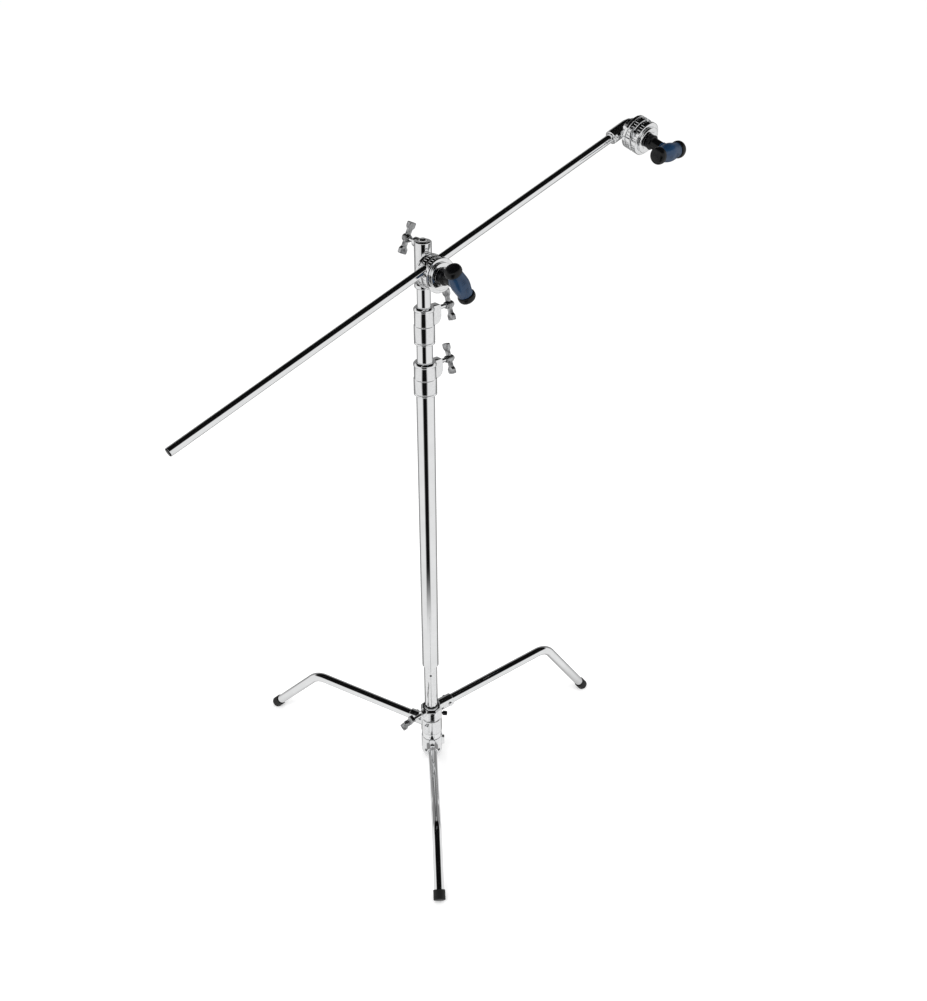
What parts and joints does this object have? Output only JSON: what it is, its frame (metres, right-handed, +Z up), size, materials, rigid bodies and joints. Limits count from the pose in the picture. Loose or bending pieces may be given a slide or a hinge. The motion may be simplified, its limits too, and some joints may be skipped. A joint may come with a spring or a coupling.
{
  "type": "lighting stand with grip head and extension arm",
  "caption": "Chromed stand on nesting bent legs, with a lift-out column of telescoping risers, and a long arm held between the notched jaws of a grip head.",
  "frame": {"origin": "on the floor, under the middle of the stand's box at rest", "axes": "+Z up along the column; the front leg points along -Y; +X is to the right when seen from the front leg"},
  "size_m": [0.8996, 0.6788, 1.3553],
  "materials": {
    "chrome": "polished chrome plate",
    "cast_chrome": "satin chrome plate over a casting",
    "dark_steel": "blackened steel",
    "black_plastic": "semi-gloss black",
    "rubber": "matt",
    "blue_grip": "semi-gloss dark blue",
    "brass": "plain",
    "nylon": "natural white"
  },
  "bodies": {
    "base": {"hub_casting": "cast_chrome", "knuckle_spacer": "chrome", "hub_retaining_nut": "cast_chrome", "hub_set_screw": "dark_steel", "right_leg_tube": "chrome", "right_foot_cap": "rubber", "right_leg_pin": "cast_chrome"},
    "left_leg": {"left_leg_knuckle": "cast_chrome", "left_leg_tube": "chrome", "left_foot_cap": "rubber", "left_leg_pin": "cast_chrome"},
    "front_leg": {"front_leg_knuckle": "cast_chrome", "front_leg_tube": "chrome", "front_foot_cap": "rubber", "front_leg_pin": "cast_chrome"},
    "base_clamp": {"base_clamp_screw": "chrome", "base_clamp_wing": "cast_chrome"},
    "column": {"column_tube": "chrome", "column_spigot": "cast_chrome", "spigot_roll_pin": "dark_steel", "lower_collar": "cast_chrome", "lower_pad": "brass"},
    "lower_clamp": {"lower_clamp_screw": "chrome", "lower_clamp_wing": "cast_chrome"},
    "riser_1": {"riser_1_tube": "chrome", "riser_1_bush": "nylon", "upper_collar": "cast_chrome", "upper_pad": "brass"},
    "upper_clamp": {"upper_clamp_screw": "chrome", "upper_clamp_wing": "cast_chrome"},
    "riser_2": {"riser_2_tube": "chrome", "riser_2_bush": "nylon", "riser_2_cap": "cast_chrome", "top_stud": "chrome"},
    "head": {"head_body": "cast_chrome", "head_bolt": "chrome"},
    "receiver_clamp": {"receiver_screw": "chrome", "receiver_wing": "cast_chrome"},
    "head_jaws": {"head_inner_jaw": "cast_chrome"},
    "head_front": {"head_outer_jaw": "cast_chrome", "head_pressure_disc": "cast_chrome"},
    "head_knob": {"head_thrust_bearing": "dark_steel", "head_spacer": "black_plastic", "head_knob_grip": "blue_grip", "head_knob_upper_end": "black_plastic", "head_knob_lower_end": "black_plastic"},
    "arm": {"arm_tube": "chrome", "arm_end_cap": "black_plastic", "far_body": "cast_chrome", "far_bolt": "chrome", "far_cross_pin": "dark_steel"},
    "far_jaws": {"far_inner_jaw": "cast_chrome"},
    "far_front": {"far_outer_jaw": "cast_chrome", "far_pressure_disc": "cast_chrome"},
    "far_knob": {"far_thrust_bearing": "dark_steel", "far_spacer": "black_plastic", "far_knob_grip": "blue_grip", "far_knob_upper_end": "black_plastic", "far_knob_lower_end": "black_plastic"}
  },
  "joints": [
    {"name": "left_leg_swing", "type": "hinge", "parent": "base", "child": "left_leg", "pos_m": [-0.03867, 0.08565, 0.09], "axis": [0, 0, 1], "range_deg": [-118, 0]},
    {"name": "front_leg_swing", "type": "hinge", "parent": "base", "child": "front_leg", "pos_m": [-0.03867, 0.08565, 0.042], "axis": [0, 0, 1], "range_deg": [0, 115]},
    {"name": "base_clamp_turn", "type": "hinge", "parent": "base", "child": "base_clamp", "pos_m": [-0.03867, 0.08565, 0.132], "axis": [-0.7547, -0.6561, 0], "range_deg": [-270, 90]},
    {"name": "column_lift", "type": "slide", "parent": "base", "child": "column", "axis": [0, 0, 1], "range_m": [-0.115, 0.02]},
    {"name": "lower_clamp_turn", "type": "hinge", "parent": "column", "child": "lower_clamp", "pos_m": [-0.03867, 0.08565, 0.955], "axis": [0.788, 0.6157, 0], "range_deg": [-270, 90]},
    {"name": "riser_1_slide", "type": "slide", "parent": "column", "child": "riser_1", "axis": [0, 0, 1], "range_m": [-0.034, 0.5]},
    {"name": "upper_clamp_turn", "type": "hinge", "parent": "riser_1", "child": "upper_clamp", "pos_m": [-0.03867, 0.08565, 1.062], "axis": [0.788, 0.6157, 0], "range_deg": [-270, 90]},
    {"name": "riser_2_slide", "type": "slide", "parent": "riser_1", "child": "riser_2", "axis": [0, 0, 1], "range_m": [-0.026, 0.54]},
    {"name": "head_swivel", "type": "hinge", "parent": "riser_2", "child": "head", "pos_m": [-0.03867, 0.08565, 1.1442], "axis": [0, 0, 1], "continuous": true},
    {"name": "receiver_clamp_turn", "type": "hinge", "parent": "head", "child": "receiver_clamp", "pos_m": [-0.03867, 0.08565, 1.187], "axis": [-0.5962, 0.8028, 0], "range_deg": [-270, 90]},
    {"name": "head_tilt", "type": "hinge", "parent": "head", "child": "head_jaws", "pos_m": [-0.03867, 0.08565, 1.1442], "axis": [0.5962, -0.8028, 0], "range_deg": [-95, 68]},
    {"name": "head_jaw_open", "type": "slide", "parent": "head_jaws", "child": "head_front", "axis": [0.5962, -0.8028, 0], "range_m": [0, 0.004]},
    {"name": "head_knob_turn", "type": "hinge", "parent": "head_front", "child": "head_knob", "pos_m": [-0.03867, 0.08565, 1.1442], "axis": [0.5962, -0.8028, 0], "range_deg": [0, 722]},
    {"name": "arm_slide", "type": "slide", "parent": "head_jaws", "child": "arm", "axis": [0.7539, 0.5599, 0.3437], "range_m": [-0.27, 0.52]},
    {"name": "far_jaw_turn", "type": "hinge", "parent": "arm", "child": "far_jaws", "pos_m": [0.34563, 0.32372, 1.33034], "axis": [0.6523, -0.7002, -0.2902], "continuous": true},
    {"name": "far_jaw_open", "type": "slide", "parent": "far_jaws", "child": "far_front", "axis": [0.6523, -0.7002, -0.2902], "range_m": [0, 0.004]},
    {"name": "far_knob_turn", "type": "hinge", "parent": "far_front", "child": "far_knob", "pos_m": [0.34563, 0.32372, 1.33034], "axis": [0.6523, -0.7002, -0.2902], "range_deg": [0, 722]}
  ],
  "couplings": [
    {"joint": "head_knob_turn", "follows": "head_jaw_open", "rad_per_m": 3141.6},
    {"joint": "far_knob_turn", "follows": "far_jaw_open", "rad_per_m": 3141.6}
  ]
}
